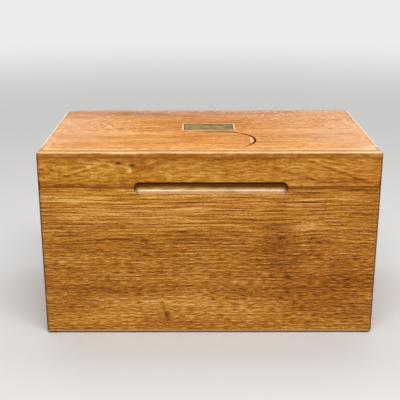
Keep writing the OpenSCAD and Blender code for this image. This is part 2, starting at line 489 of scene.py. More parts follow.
@dataclass(frozen=True)
class Groove(Mark):
    """The inside of the finger groove: painted shade under its upper lip and in its round ends, and painted
    light and a painted highlight below the seam.

    Its entry and depth run inward from the front of the board, and its other heights up from its middle.
    """

    front: float = -104.8
    middle: Pair = (1.5, 166.15)
    entry: Pair = (0.1, 0.6)
    depth: Pair = (7.2, 6.6)
    radius: Pair = (7.1, 6.7)
    patches: Cloud = Cloud((13.0, 2.6, 5.0), 41.0, 3.0, span=(0.34, 0.6))
    # Painted shade under the upper lip, where the lip keeps the light off.
    grime_and_shade: Wash = Wash(GROOVE_SHADE, (-1.6, 3.4), 0.98)
    # Painted light below the seam: a pale colour over the part of the groove that the lip shades.
    rubbed_and_highlit: Wash = Wash((0.93, 0.54, 0.15), (-0.6, -1.8), 1.0)
    lit_patches: Pair = (0.45, 0.5)
    rosy: Wash = Wash((0.5, 0.27, 0.13), (-4.3, -5.1), 0.75)
    # Painted highlight along the lower half of the groove, yellow to the left and pinker to the right.
    bare_and_highlit: Colour = (1.0, 0.84, 0.4)
    highlight_line: Triple = (-3.55, 0.85, 0.6)
    highlight_patches: Pair = (0.6, 0.38)
    pinker: Colour = (1.0, 0.72, 0.47)
    pinker_from: Pair = (5.0, 45.0)
    speck: Wash = Wash((0.14, 0.05, 0.015), (0.0, -2.0), 0.6)
    specks: Cloud = Cloud((2.4, 1.6, 2.0), 47.0, 2.0, 0.6, (0.62, 0.74))
    thumb: Colour = (0.2, 0.07, 0.02)
    thumb_mark: Spot = Spot(22.0, 161.6, 7.0, 2.2, 0.5)
    # Painted shade in the groove's round ends.
    round_end_shade: Wash = Wash(GROOVE_SHADE, (74.0, 79.0), 0.8)
    gloss_line: Triple = (-4.0, 0.35, 0.7)
    gloss_coat: float = 0.8

    def _inside(self, face: Face) -> tuple[Signal, Signal]:
        """Finds the inside of the groove.

        Args:
            face: the board's surface.

        Returns:
            1 inside the groove and 0 outside it, and the height above the groove's middle.
        """
        away = face.frame["z"] - self.middle[1]
        inward = face.frame["y"] - self.front
        inside = inward.rise(*self.entry) * inward.rise(*self.depth)
        return inside * abs(away).rise(*self.radius), away

    def paint(self, face: Face, colour: Signal) -> Signal:
        """Lays the groove's painted shade and painted light, and its dark specks and thumb mark.

        Args:
            face: the board's surface.
            colour: the board's colour.

        Returns:
            The colour with that of the groove in it.
        """
        bench, x = face.bench, face.frame["x"]
        inside, away = self._inside(face)
        patches = face.cloud(self.patches)
        # Painted shade under the upper lip.
        colour = self.grime_and_shade.lay(bench, colour, away, inside)
        # Painted light below the seam.
        colour = self.rubbed_and_highlit.lay(bench, colour, away, inside * patches.scaled(*self.lit_patches))
        colour = self.rosy.lay(bench, colour, away, inside)
        # Painted highlight along the lower half, yellow to the left and pinker to the right.
        bare_and_highlit = inside * away.line(*self.highlight_line) * patches.scaled(*self.highlight_patches)
        tint = bench.blend(x.rise(*self.pinker_from), self.bare_and_highlit, self.pinker)
        colour = bench.blend(bare_and_highlit, colour, tint)
        colour = self.speck.lay(bench, colour, away, inside * face.cloud(self.specks))
        thumb = inside * face.oval(self.thumb_mark) * self.thumb_mark.strength
        colour = bench.blend(thumb, colour, self.thumb)
        # Painted shade in the round ends.
        return self.round_end_shade.lay(bench, colour, abs(x - self.middle[0]), inside)

    def gloss(self, face: Face, coat: Operand) -> Operand:
        """Gives the clear coat, which a polished line in the groove adds to."""
        inside, away = self._inside(face)
        return inside * away.line(*self.gloss_line) * (self.gloss_coat - coat) + coat


@dataclass(frozen=True)
class Oval:
    """A level oval on the top."""

    middle: Pair
    half: Pair

    def measure(self, face: Face) -> tuple[Signal, Signal]:
        """Measures from the middle.

        Args:
            face: the board's surface.

        Returns:
            The distance from the middle, which is 1 on the oval, and the bearing in degrees.
        """
        over_x = (face.frame["x"] - self.middle[0]) / self.half[0]
        over_y = (face.frame["y"] - self.middle[1]) / self.half[1]
        return (over_x * over_x + over_y * over_y) ** HALF, over_y.bearing(over_x) * math.degrees(1.0)


@dataclass(frozen=True)
class RingStain(Mark):
    """Part of a wet mug's ring: a dark crescent between two ovals, with a paler line inside it, and a dark
    line in front of the plate's near edge.
    """

    outer: Oval = Oval((17.9, -53.6), (33.0, 37.2))
    inner: Oval = Oval((17.6, -54.4), (30.6, 35.4))
    soft: float = 0.012
    arc: Pair = (-53.0, 97.0)
    fade: float = 7.0
    dark: Colour = (0.06, 0.012, 0.001)
    strength: float = 0.97
    pale_inner: Colour = (0.95, 0.66, 0.5)
    pale_inner_line: Triple = (0.86, 0.03, 0.036)
    pale_inner_spread: float = 20.0
    pale_inner_strength: float = 0.42
    plate_edge_line: Oval = Oval((7.5, -17.6), (16.0, 1.5))
    plate_edge_wash: Wash = Wash(dark, (1.2, 0.6), 0.75)
    shown_above: Pair = (199.2, 199.8)

    def paint(self, face: Face, colour: Signal) -> Signal:
        """Lays the ring.

        Args:
            face: the board's surface.
            colour: the board's colour.

        Returns:
            The colour with the ring on its upper side.
        """
        bench, soft, fade = face.bench, self.soft, self.fade
        first, last = self.arc
        shown = face.frame["z"].rise(*self.shown_above)
        outer, turn = self.outer.measure(face)
        inner, _ = self.inner.measure(face)
        plate_edge_line, _ = self.plate_edge_line.measure(face)
        arc = turn.rise(first - fade, first + fade) * turn.rise(last + fade, last - fade)
        pale = outer.line(*self.pale_inner_line) * self.pale_inner_strength
        pale = pale * abs(turn).rise(self.pale_inner_spread + fade, self.pale_inner_spread - fade)
        colour = bench.blend(pale * shown, colour, self.pale_inner)
        colour = self.plate_edge_wash.lay(bench, colour, plate_edge_line, shown)
        dark = outer.rise(1.0 + soft, 1.0 - soft) * inner.rise(1.0 - soft, 1.0 + soft)
        return bench.blend(dark * arc * self.strength * shown, colour, self.dark)


@dataclass(frozen=True)
class PaintedSheen(Mark):
    """A painted sheen on the top: pale patches that stand for the gloss of the varnish, strongest at the
    ends, the back and the front right corner.
    """

    colour: Colour = (0.72, 0.44, 0.295)
    patches: Cloud = Cloud((30.0, 12.0, 12.0), 19.0, 3.0, 0.65, (0.05, 0.68))
    places: tuple[Spot, ...] = spots(
        (-180, 0, 62, 95, 0.6), (180, -10, 88, 95, 0.58), (0, 104, 170, 38, 0.52),
        (171, -93, 14, 13, 0.75), (0, 0, 400, 400, 0.15),
    )

    def amount(self, face: Face) -> Signal:
        """Gives how strong the painted sheen is."""
        # Painted sheen over the top face.
        return face.total(self.places) * face.cloud(self.patches) * face.frame["z"].rise(*TOP_FACE)


@dataclass(frozen=True)
class Scuffs(Mark):
    """Small pale knocks and scratches on the top, in some places more than in others."""

    colour: Colour = PALE
    knocks: Cloud = Cloud((3.6, 5.0, 4.0), 29.0, 3.0, 0.7, (0.54, 0.66))
    scratches: Cloud = Cloud((30.0, 3.4, 4.0), 31.0, 2.0, 0.6, (0.64, 0.8))
    scratch_strength: float = 0.5
    places: tuple[Spot, ...] = spots(
        (-118, 15, 46, 50, 0.7), (95, 62, 62, 42, 0.95), (165, 10, 24, 100, 0.8), (0, 96, 200, 12, 0.5),
        (-168, -40, 13, 70, 0.9), (168, -90, 18, 16, 0.6),
    )

    def amount(self, face: Face) -> Signal:
        """Gives how much the top is marked."""
        marks = face.cloud(self.knocks).higher(face.cloud(self.scratches) * self.scratch_strength)
        return marks * face.frame["z"].rise(*TOP_FACE) * face.total(self.places)


@dataclass(frozen=True)
class Stroke:
    """A line of one colour that follows the top's edge."""

    colour: Colour
    inset_line: Triple
    upward: Pair
    strength: float

    def lay(self, bench: Bench, colour: Signal, inset: Signal, upward: Signal, where: Signal) -> Signal:
        """Lays the stroke over a colour, by the distance out from the edge and how far up a face looks."""
        amount = inset.line(*self.inset_line) * upward.rise(*self.upward) * where * self.strength
        return bench.blend(amount, colour, self.colour)


@dataclass(frozen=True)
class EdgeWearAndLight(Mark):
    """The edges of the top: a pale worn line at the arris, a silvery line that is partly wear and partly
    painted highlight, a band of painted shade, a painted highlight on the round, and painted shade on the
    upright side below it.
    """

    half_size: Pair = (177.8, 104.8)
    above_side: Pair = (-0.5, 0.0)
    arris: Stroke = Stroke(PALE, (-9.4, 1.4, 1.2), (0.95, 0.995), 0.55)
    rubs: Cloud = Cloud((26.0, 9.0, 9.0), 37.0, span=(0.3, 0.6))
    front: Pair = (-80.0, -95.0)
    front_share: Pair = (0.75, 0.25)
    # A silvery line on the round: partly wear, partly a painted highlight.
    silver: Stroke = Stroke((0.88, 0.72, 0.57), (-2.2, 1.4, 1.2), (0.3, 0.7), 0.9)
    bites: Cloud = Cloud((9.0, 12.0, 9.0), 43.0, 3.0, 0.7, (0.42, 0.62))
    bites_share: Pair = (0.8, 0.2)
    ends: Pair = (168.0, 174.0)
    ends_share: float = 0.8
    behind_front: Pair = (-100.0, -88.0)
    # A band of painted shade where the round-over turns away from the light.
    aged_and_shaded: Stroke = Stroke((0.4, 0.2, 0.06), (-3.6, 1.8, 1.6), (0.8, 0.92), 0.75)
    # A painted highlight on the round-over.
    rubbed_and_highlit: Wash = Wash((0.95, 0.66, 0.3), (0.48, 0.64), 0.36)
    highlight_below: Pair = (0.88, 0.78)
    # Painted shade on the panel's upright side, below the round-over.
    side: Wash = Wash((0.26, 0.09, 0.012), (0.62, 0.45), 0.6)
    round_below: Pair = (0.995, 0.95)
    gloss_from: Pair = (0.45, 0.6)
    gloss_coat: float = 0.5

    def _round(self, upward: Signal) -> Signal:
        """Gives 1 on the round-over and 0 on the flat top and underneath."""
        return upward.rise(*self.round_below) * upward.rise(*self.above_side)

    def paint(self, face: Face, colour: Signal) -> Signal:
        """Lays the wear of the edges, with their painted highlights and painted shade.

        Args:
            face: the board's surface.
            colour: the board's colour.

        Returns:
            The colour with worn edges.
        """
        bench, y, upward = face.bench, face.frame["y"], face.facing["z"]
        away_x, away_y = abs(face.frame["x"]), abs(y)
        inset = (away_x - self.half_size[0]).higher(away_y - self.half_size[1])
        front = y.rise(*self.front).scaled(*self.front_share)
        colour = self.arris.lay(bench, colour, inset, upward, face.cloud(self.rubs) * front)
        bare_and_highlit = face.cloud(self.bites).scaled(*self.bites_share)
        bare_and_highlit = bare_and_highlit.higher(away_x.rise(*self.ends) * self.ends_share)
        # The silvery line: wear and painted highlight.
        colour = self.silver.lay(bench, colour, inset, upward, y.rise(*self.behind_front) * bare_and_highlit)
        # The band of painted shade.
        colour = self.aged_and_shaded.lay(bench, colour, inset, upward, front)
        # The painted highlight on the round-over, then the painted shade on the upright side.
        rubbed_and_highlit = self._round(upward) * upward.rise(*self.highlight_below)
        colour = self.rubbed_and_highlit.lay(bench, colour, upward, rubbed_and_highlit)
        return self.side.lay(bench, colour, upward, upward.rise(*self.above_side))

    def gloss(self, face: Face, coat: Operand) -> Operand:
        """Gives the clear coat, which is thicker on the round-over."""
        upward = face.facing["z"]
        return self._round(upward) * upward.rise(*self.gloss_from) * (self.gloss_coat - coat) + coat


@dataclass(frozen=True)
class Timber:
    """A timber: its colours from dark to light, the size of its grain, and how strongly each layer shows."""

    stops: tuple[tuple[float, Colour], ...]
    pore: Colour
    knot: Colour
    ruddy: Colour
    golden: Colour
    end_grain: Colour
    pale: Colour
    sway: Cloud = Cloud((190.0, 60.0, 60.0), 0.0, 1.0)
    ripple: Cloud = Cloud((38.0, 11.0, 14.0), 3.1, 1.0)
    band: Cloud = Cloud((300.0, 22.0, 60.0), 1.0, 1.0)
    ring: Cloud = Cloud((120.0, 4.0, 30.0), 3.0, 1.0)
    vein: Cloud = Cloud((42.0, 1.15, 3.0), 5.0, 0.5, span=(0.32, 0.68))
    dash: Cloud = Cloud((8.0, 0.95, 2.2), 7.0, 0.5, span=(0.3, 0.7))
    fibre: Cloud = Cloud((2.6, 0.7, 1.2), 9.0, 1.0)
    fleck: Cloud = Cloud((3.4, 1.3, 1.6), 13.0, 1.0, span=(0.66, 0.8))
    line_break: Cloud = Cloud((24.0, 5.0, 8.0), 15.0, 1.0, span=(0.38, 0.62))
    band_weight: float = 0.55
    ring_weight: float = 0.12
    vein_weight: float = 0.38
    dash_weight: float = 0.46
    fibre_weight: float = 0.78
    line_weight: float = 0.13
    line_spacing: float = 4.6
    line_waver: float = 0.6
    vein_share: float = 0.55
    dash_share: float = 1.5
    line_share: float = 0.35
    knot_reach: float = 2.6
    knot_pull: float = 0.8
    pore_fibre: float = 2.0
    pore_span: Pair = (1.0, 0.7)
    pore_strength: float = 0.4
    fleck_strength: float = 0.25
    end_span: Pair = (0.75, 0.98)
    end_strength: float = 0.75


@dataclass(frozen=True)
class Polish:
    """An aged varnish: how it shines, and how deep the grain stands in it."""

    roughness: float = 0.42
    pore_roughness: float = 0.2
    smear: Cloud = Cloud((45.0, 22.0, 22.0), 23.0, 3.0, 0.6)
    smear_roughness: float = 0.18
    specular: float = 0.1
    coat: float = 0.03
    coat_roughness: float = 0.2
    coat_ior: float = 1.6
    grain_depth: float = 0.00012
    bump_strength: float = 0.3
    pore_relief: float = 0.8
    fibre_relief: float = 0.3


@dataclass(frozen=True)
class Figure:
    """What is particular to one board: how it lies, its knots, its colours, what use has left on it, and the
    light and shade painted on it.
    """

    board: str
    run: Run
    seed: float
    tone: float = 0.5
    coarse: float = 1.0
    contrast: float = 1.0
    sway: float = 9.0
    ripple: float = 1.6
    hills: tuple[Spot, ...] = ()
    knots: tuple[Spot, ...] = ()
    straight: tuple[Spot, ...] = ()
    tones: tuple[Spot, ...] = ()
    ruddy: tuple[Spot, ...] = ()
    golden: tuple[Spot, ...] = ()
    marks: tuple[Mark, ...] = ()
    edges: tuple[Mark, ...] = ()


@dataclass(frozen=True)
class Grain:
    """The grain of one board on its bench: the point in its growth layers, and the marks along them."""

    layers: Signal
    vein: Signal
    dash: Signal
    fibre: Signal
    pores: Signal


@dataclass(frozen=True)
class WoodFinish:
    """One board's finish, made from the board's own figure, the timber and the polish."""

    figure: Figure
    timber: Timber
    polish: Polish = Polish()

    def _layers(self, face: Face) -> Signal:
        """Bends the growth layers of the board.

        Args:
            face: the board's surface.

        Returns:
            The point with its second value replaced by the place in the growth layers.
        """
        timber, figure = self.timber, self.figure
        along, across, through = face.bench.split(face.point)
        layer = across + (face.cloud(timber.sway) - HALF) * figure.sway
        layer = layer + (face.cloud(timber.ripple) - HALF) * figure.ripple
        layer = layer + face.total(figure.hills)
        for knot in figure.knots:
            pull = face.oval(knot.grown(timber.knot_reach))
            layer = layer - (across - knot.across) * pull * timber.knot_pull
        return face.bench.join(along, layer, through)

    def _fine(self, layers: Signal, cloud: Cloud) -> Signal:
        """Gives one fine layer of the grain, at the board's own coarseness."""
        return layers.bench.cloud(layers, cloud, self.figure.seed, self.figure.coarse)

    def _grain(self, face: Face) -> Grain:
        """Lays out the board's grain.

        Args:
            face: the board's surface.

        Returns:
            The grain.
        """
        timber = self.timber
        layers = self._layers(face)
        vein, dash, fibre = (self._fine(layers, cloud) for cloud in (timber.vein, timber.dash, timber.fibre))
        pores = (dash + fibre * timber.pore_fibre).rise(*timber.pore_span)
        return Grain(layers, vein, dash, fibre, pores)

    def _tone(self, face: Face, grain: Grain) -> Signal:
        """Adds up how light the wood is.

        Args:
            face: the board's surface.
            grain: the board's grain.

        Returns:
            The tone, from 0 for dark to 1 for light.
        """
        timber, figure = self.timber, self.figure
        straight = face.total(figure.straight) + timber.vein_share
        band = face.bench.cloud(grain.layers, timber.band, figure.seed)
        _, layer, _ = face.bench.split(grain.layers)
        lines = (layer + grain.dash * timber.line_waver).wave(timber.line_spacing)
        lines = lines * self._fine(grain.layers, timber.line_break)
        tone = (band - HALF) * timber.band_weight + figure.tone
        for part, weight in (
            (self._fine(grain.layers, timber.ring) - HALF, timber.ring_weight),
            ((grain.vein - HALF) * straight, timber.vein_weight),
            ((grain.dash - HALF) * (timber.dash_share - straight), timber.dash_weight),
            (grain.fibre - HALF, timber.fibre_weight),
            (lines * (straight + timber.line_share), timber.line_weight),
        ):
            tone = tone + part * (weight * figure.contrast)
        return tone + face.total(figure.tones)

    def _wood(self, face: Face, grain: Grain) -> Signal:
        """Colours the clean wood.

        Args:
            face: the board's surface.
            grain: the board's grain.

        Returns:
            The colour, with pores, flecks and knots.
        """
        timber, figure, bench = self.timber, self.figure, face.bench
        colour = bench.ramp(self._tone(face, grain), timber.stops)
        for places, tint in ((figure.ruddy, timber.ruddy), (figure.golden, timber.golden)):
            if places:
                colour = bench.blend(face.total(places), colour, tint, Blend.TINT)
        colour = bench.blend(grain.pores * timber.pore_strength * figure.contrast, colour, timber.pore)
        fleck = self._fine(grain.layers, timber.fleck)
        colour = bench.blend(fleck * timber.fleck_strength, colour, timber.pale)
        for knot in figure.knots:
            colour = bench.blend(face.oval(knot) * knot.strength, colour, timber.knot)
        return colour

    def make(self) -> bpy.types.Material:
        """Makes the material.

        Returns:
            The board's material.
        """
        timber, figure, polish = self.timber, self.figure, self.polish
        bench = Bench.material(f"walnut_{figure.board}")
        face = Face(bench, figure.run, figure.seed)
        grain = self._grain(face)
        colour = self._wood(face, grain)
        for mark in figure.marks:
            colour = mark.paint(face, colour)
        ends = abs(face.facing[face.along_axis]).rise(*timber.end_span)
        colour = bench.blend(ends * timber.end_strength, colour, timber.end_grain, Blend.TINT)
        for mark in figure.edges:
            colour = mark.paint(face, colour)
        coat: Operand = polish.coat
        for mark in figure.marks + figure.edges:
            coat = mark.gloss(face, coat)
        roughness = (face.cloud(polish.smear) - HALF) * polish.smear_roughness + polish.roughness
        roughness = roughness + grain.pores * polish.pore_roughness
        height = 1.0 - grain.pores * polish.pore_relief + (grain.fibre - HALF) * polish.fibre_relief
        return bench.finish(
            Base_Color=colour,
            Roughness=roughness,
            Specular_IOR_Level=polish.specular,
            Coat_Weight=coat,
            Coat_Roughness=polish.coat_roughness,
            Coat_IOR=polish.coat_ior,
            Normal=bench.bump(height, polish.bump_strength, polish.grain_depth),
        )


@dataclass(frozen=True)
class MetalFinish:
    """Aged brass: polished where it is worn, and browned by tarnish elsewhere."""

    name: str
    seed: float
    tarnish_amount: float = 0.6
    bright: Colour = (0.83, 0.62, 0.3)
    tarnish: Colour = (0.33, 0.21, 0.085)
    tarnish_span: Pair = (0.35, 0.7)
    cloud: Cloud = Cloud((7.0, 7.0, 7.0), 0.0, 4.0, 0.6)
    brushed: Cloud = Cloud((9.0, 0.25, 0.25), 2.0, 1.0)
    roughness: float = 0.32
    tarnish_roughness: float = 0.25
    brushed_roughness: float = 0.2
    cloud_relief: float = 0.5
    relief: Pair = (0.25, 0.00005)

    def make(self) -> bpy.types.Material:
        """Makes the material.

        Returns:
            The brass.
        """
        bench = Bench.material(self.name)
        point = bench.place()
        cloud = bench.cloud(point, self.cloud, self.seed)
        brushed = bench.cloud(point, self.brushed, self.seed)
        stain = cloud.rise(*self.tarnish_span) * self.tarnish_amount
        roughness = self.roughness + stain * self.tarnish_roughness
        return bench.finish(
            Base_Color=bench.blend(stain, self.bright, self.tarnish),
            Metallic=1.0,
            Roughness=roughness + (brushed - HALF) * self.brushed_roughness,
            Normal=bench.bump(brushed + cloud * self.cloud_relief, *self.relief),
        )


@dataclass(frozen=True)
class PlateFinish:
    """The blank name plate: a worn rim round a dull, browned field."""

    name: str
    middle: Pair
    field_half: Pair
    field_soft: float = 0.15
    rim: Colour = (0.9, 0.61, 0.27)
    field: Colour = (0.25, 0.165, 0.035)
    stain: Colour = (0.07, 0.05, 0.01)
    stain_span: Pair = (0.42, 0.6)
    grime_and_shade: Colour = (0.04, 0.022, 0.006)
    grime_span: Pair = (-2.4, 0.0)
    grime_strength: float = 0.75
    brushed: Cloud = Cloud((14.0, 0.35, 0.35), 4.0)
    brushed_shine: Pair = (0.7, 0.06)
    cloud: Cloud = Cloud((9.0, 4.5, 6.0), 6.0, 3.0, 0.6)
    rim_dull: Pair = (0.5, 0.75)
    rim_dull_strength: float = 0.35
    field_metal: float = 0.8
    roughness: float = 0.36
    field_roughness: float = 0.22
    brushed_roughness: float = 0.15
    specular: float = 0.2
    relief: Pair = (0.3, 0.00005)

    def make(self) -> bpy.types.Material:
        """Makes the material.

        Returns:
            The plate's brass.
        """
        bench = Bench.material(self.name)
        point = bench.place()
        brushed = bench.cloud(point, self.brushed)
        cloud = bench.cloud(point, self.cloud)
        x, y, _ = bench.split(point)
        past_x, past_y = (abs(v - m) - half for v, m, half in zip((x, y), self.middle, self.field_half))
        edge = past_x.higher(past_y)
        inside = edge.rise(self.field_soft, -self.field_soft)
        aged_and_shaded = bench.blend(cloud.rise(*self.stain_span), self.field, self.stain)
        aged_and_shaded = bench.blend((brushed - HALF).scaled(*self.brushed_shine), aged_and_shaded, self.rim)
        aged_and_shaded = bench.blend(edge.rise(*self.grime_span) * self.grime_strength, aged_and_shaded, self.grime_and_shade)
        rubbed_and_highlit = bench.blend(cloud.rise(*self.rim_dull) * self.rim_dull_strength, self.rim, self.field)
        roughness = self.roughness + inside * self.field_roughness
        return bench.finish(
            Base_Color=bench.blend(inside, rubbed_and_highlit, aged_and_shaded),
            Metallic=1.0 - inside * self.field_metal,
            Roughness=roughness + (brushed - HALF) * self.brushed_roughness,
            Specular_IOR_Level=self.specular,
            Normal=bench.bump(brushed, *self.relief),
        )


@dataclass(frozen=True)
class RubberFinish:
    """Dull rubber for the feet, dusty round the rim."""

    name: str
    colour: Colour = (0.035, 0.03, 0.027)
    dust: Colour = (0.16, 0.14, 0.12)
    cloud: Cloud = Cloud((2.5, 2.5, 2.5), 2.0, 4.0, 0.7)
    dust_span: Pair = (0.45, 0.8)
    dust_strength: float = 0.6
    roughness: float = 0.75
    cloud_roughness: float = 0.2
    relief: Pair = (0.4, 0.0001)

    def make(self) -> bpy.types.Material:
        """Makes the material.

        Returns:
            The rubber.
        """
        bench = Bench.material(self.name)
        cloud = bench.cloud(bench.place(), self.cloud)
        dusty = cloud.rise(*self.dust_span) * self.dust_strength
        return bench.finish(
            Base_Color=bench.blend(dusty, self.colour, self.dust),
            Roughness=self.roughness + (cloud - HALF) * self.cloud_roughness,
            Normal=bench.bump(cloud, *self.relief),
        )


WALNUT = Timber(
    stops=(
        (0.0, (0.1, 0.026, 0.001)),
        (0.25, (0.235, 0.069, 0.004)),
        (0.5, (0.435, 0.15, 0.013)),
        (0.75, (0.62, 0.266, 0.038)),
        (1.0, (0.86, 0.46, 0.15)),
    ),
    pore=(0.13, 0.036, 0.004),
    knot=(0.085, 0.014, 0.0),
    ruddy=(1.0, 0.78, 0.72),
    golden=(1.0, 1.06, 0.5),
    end_grain=(0.5, 0.42, 0.4),
    pale=(0.8, 0.48, 0.15),
)

SEAM_DARK = (0.27, 0.075, 0.0)
SEAM_LINE = EdgeLine(167.25, 0.7, 0.7, 0.85, SEAM_DARK)
PANEL_LINE = EdgeLine(198.6, 0.5, 0.6, 0.6, SEAM_DARK)
# A pale line along the eased bottom edge of the base: a painted highlight.
BOTTOM_EDGE_HIGHLIGHT = EdgeLine(2.6, 0.9, 0.5, 0.7, (0.8, 0.52, 0.3))
BASE_LINES = (SEAM_LINE, BOTTOM_EDGE_HIGHLIGHT)
LID_LINES = (SEAM_LINE, PANEL_LINE)

BASE_FRONT = Figure(
    board="base_front",
    run=Run.FRONT,
    seed=2.0,
    straight=spots((0, 158, 320, 48, 0.75)),
    hills=spots((70, 112, 26, 16, 3), (-20, 60, 60, 22, -3)),
    knots=spots(
        (-46.5, 21.2, 2.4, 3.2, 0.75), (70.6, 113.8, 5, 1.6, 0.55), (-117, 42, 4, 3, 0.3),
        (160.3, 97.9, 1.1, 1, 0.8),
    ),
    tones=spots(
        (-110, 152, 80, 24, 0.16), (-142, 154, 42, 9, 0.2), (-50, 136, 95, 11, 0.14),
        (-60, 76, 190, 8, -0.09), (55, 59, 85, 8, 0.15), (-60, 37, 55, 8, 0.1),
        (-125, 18, 45, 10, 0.14), (60, 148, 130, 14, 0.1), (110, 128, 50, 8, 0.12),
        (-130, 70, 60, 34, -0.08), (-60, 92, 22, 14, -0.1), (74, 112, 15, 26, -0.15),
        (84, 75, 12, 30, -0.08), (130, 45, 60, 22, -0.1), (-20, 22, 140, 22, 0.13),
        (100, 10, 90, 9, 0.1), (-135, 153, 24, 8, 0.1), (-49.4, 31, 1.8, 5.5, -0.28, 14),
        (-49, 134, 15, 8, 0.1), (18, 134, 15, 8, 0.1), (-15, 47, 18, 20, 0.08),
        (-92, 28, 22, 16, 0.08), (104, 29, 26, 14, -0.08), (165, 153, 16, 9, -0.07),
        (-22, 150.9, 27, 0.55, -0.5, 0.6), (-98, 109.6, 24, 0.55, -0.45, 2),
        (92, 150.6, 38, 0.5, -0.45, -1), (138, 125.6, 32, 0.5, -0.5), (-55, 72.6, 9, 1.2, -0.35),
        (60, 66, 24, 0.6, -0.4, -1.5), (137, 39.5, 14, 0.7, -0.4), (-20, 120, 22, 0.5, -0.4, 4),
    ),
    ruddy=spots((125, 62, 75, 45, 0.35), (-64, 13, 55, 2.6, 0.7)),
    golden=spots(
        (-105, 160, 60, 11, 0.7), (-55, 118, 26, 5, 0.5), (-85, 112, 12, 4, 0.6),
        (-130, 15, 60, 14, 0.45), (60, 14, 80, 12, 0.35),
    ),
    marks=(Groove(), *BASE_LINES, PaintedCornerShade()),
)

LID_FRONT = Figure(
    board="lid_front",
    run=Run.FRONT,
    seed=12.0,
    tone=0.62,
    sway=5.0,
    coarse=1.7,
    contrast=0.6,
    hills=spots((178, 199, 52, 18, 14), (-178, 196, 60, 14, -7), (-86, 186, 14, 7, 0.8)),
    knots=spots((-93.2, 193, 4, 1.9, 1, -6), (-79.4, 190.5, 3.8, 2.3, 1, -4)),
    tones=spots(
        (-82.3, 185.2, 2.6, 2.9, 0.55, 20), (-93.5, 190.4, 4.4, 0.8, 0.16),
        (-79, 193.2, 3.6, 0.6, 0.14), (-84, 180.5, 16, 5, -0.12), (0, 197.2, 120, 2.6, -0.16),
        (-70, 188, 14, 8, -0.12), (-133, 185.8, 29, 1.2, 0.2, 17),
        (-132, 183.6, 27, 0.9, -0.22, 17), (-58, 194.4, 10, 0.8, 0.25, 27),
        (135, 182.6, 36, 1, -0.27, -20), (138, 184.8, 34, 1, 0.12, -20),
        (105, 193.4, 7, 2.2, -0.25, -10), (100, 177.4, 26, 0.9, -0.25, -15),
        (-163, 186, 1.6, 1.4, -0.3), (-130, 169.5, 40, 1.6, -0.3), (0, 180, 90, 5, 0.12),
        (-120, 184, 22, 13, 0.1), (106, 192, 34, 7, 0.13), (140, 174, 34, 5, -0.1),
    ),
    golden=spots((-120, 180, 60, 12, 0.6), (-30, 176, 60, 7, 0.6), (100, 195, 40, 5, 0.4)),
    ruddy=spots((150, 175, 46, 9, 0.5), (-70, 180, 10, 12, 0.3)),
    marks=(Groove(), *LID_LINES, PaintedCornerShade()),
)

TOP_PANEL = Figure(
    board="top_panel",
    run=Run.FLAT,
    seed=22.0,
    tone=0.62,
    coarse=1.6,
    contrast=0.86,
    straight=spots((0, 0, 900, 900, 0.35)),
    tones=spots(
        (0, 90, 160, 24, -0.46), (166, -95, 20, 8, 0.25), (174, -98, 8, 9, 0.45),
        (-166, -95, 22, 8, 0.15), (5, 15, 50, 45, -0.07), (125, -75, 50, 24, 0.08),
        (-100, 22, 30, 12, 0.08), (-88, -22, 30, 4.5, 0.2, 12), (-58, -26, 24, 4, 0.16, -16),
        (-108, 6, 20, 4, 0.16, 28), (-72, -52, 34, 4, 0.14, 6),
    ),
    ruddy=spots((-10, 10, 130, 80, 0.3)),
    hills=spots((-85, -30, 60, 26, 16)),
    marks=(PaintedSheen(), Scuffs(), RingStain(), PANEL_LINE),
    edges=(EdgeWearAndLight(),),
)


@dataclass
class Assembly:
    """A sub-assembly, which finds its plain pieces by name in the frame."""

    nodes: dict[str, bpy.types.Object]
    boards: tuple[Figure, ...] = ()

    @staticmethod
    def put_on(piece: bpy.types.Object, material: bpy.types.Material) -> None:
        """Puts a finish on a piece and reports it.

        Args:
            piece: the piece.
            material: its finish.
        """
        if not piece.material_slots:
            piece.data.materials.append(material)
        for slot in piece.material_slots:
            slot.material = material
        LOG.info("%s: %s", piece.name, material.name)

    def put_walnut(self) -> None:
        """Gives the boards their walnut, each with its own figure."""
        for figure in self.boards:
            self.put_on(self.nodes[figure.board], WoodFinish(figure, WALNUT).make())


@dataclass
class Base(Assembly):
    """The lower box: four boards, a floor panel and four feet."""

    boards: tuple[Figure, ...] = (
        BASE_FRONT,
        Figure("base_back", Run.FRONT, 31.0, 0.46, marks=(*BASE_LINES, PaintedCornerShade())),
        Figure("base_left", Run.SIDE, 43.0, 0.44, marks=BASE_LINES),
        Figure("base_right", Run.SIDE, 57.0, 0.46, marks=BASE_LINES),
        Figure("bottom_panel", Run.FLAT, 71.0, 0.6),
    )

    def dress(self) -> None:
        """Gives every piece of the base its finish."""
        self.put_walnut()
        rubber = RubberFinish("foot_rubber").make()
        for name in sorted(n for n in self.nodes if n.startswith("foot_")):
            self.put_on(self.nodes[name], rubber)


@dataclass(frozen=True)
class PanelCorner:
    """One corner of the top panel: which way it lies from the middle, and how round it is in plan."""

    side_x: int
    side_y: int
    start_degrees: float
    radius: float


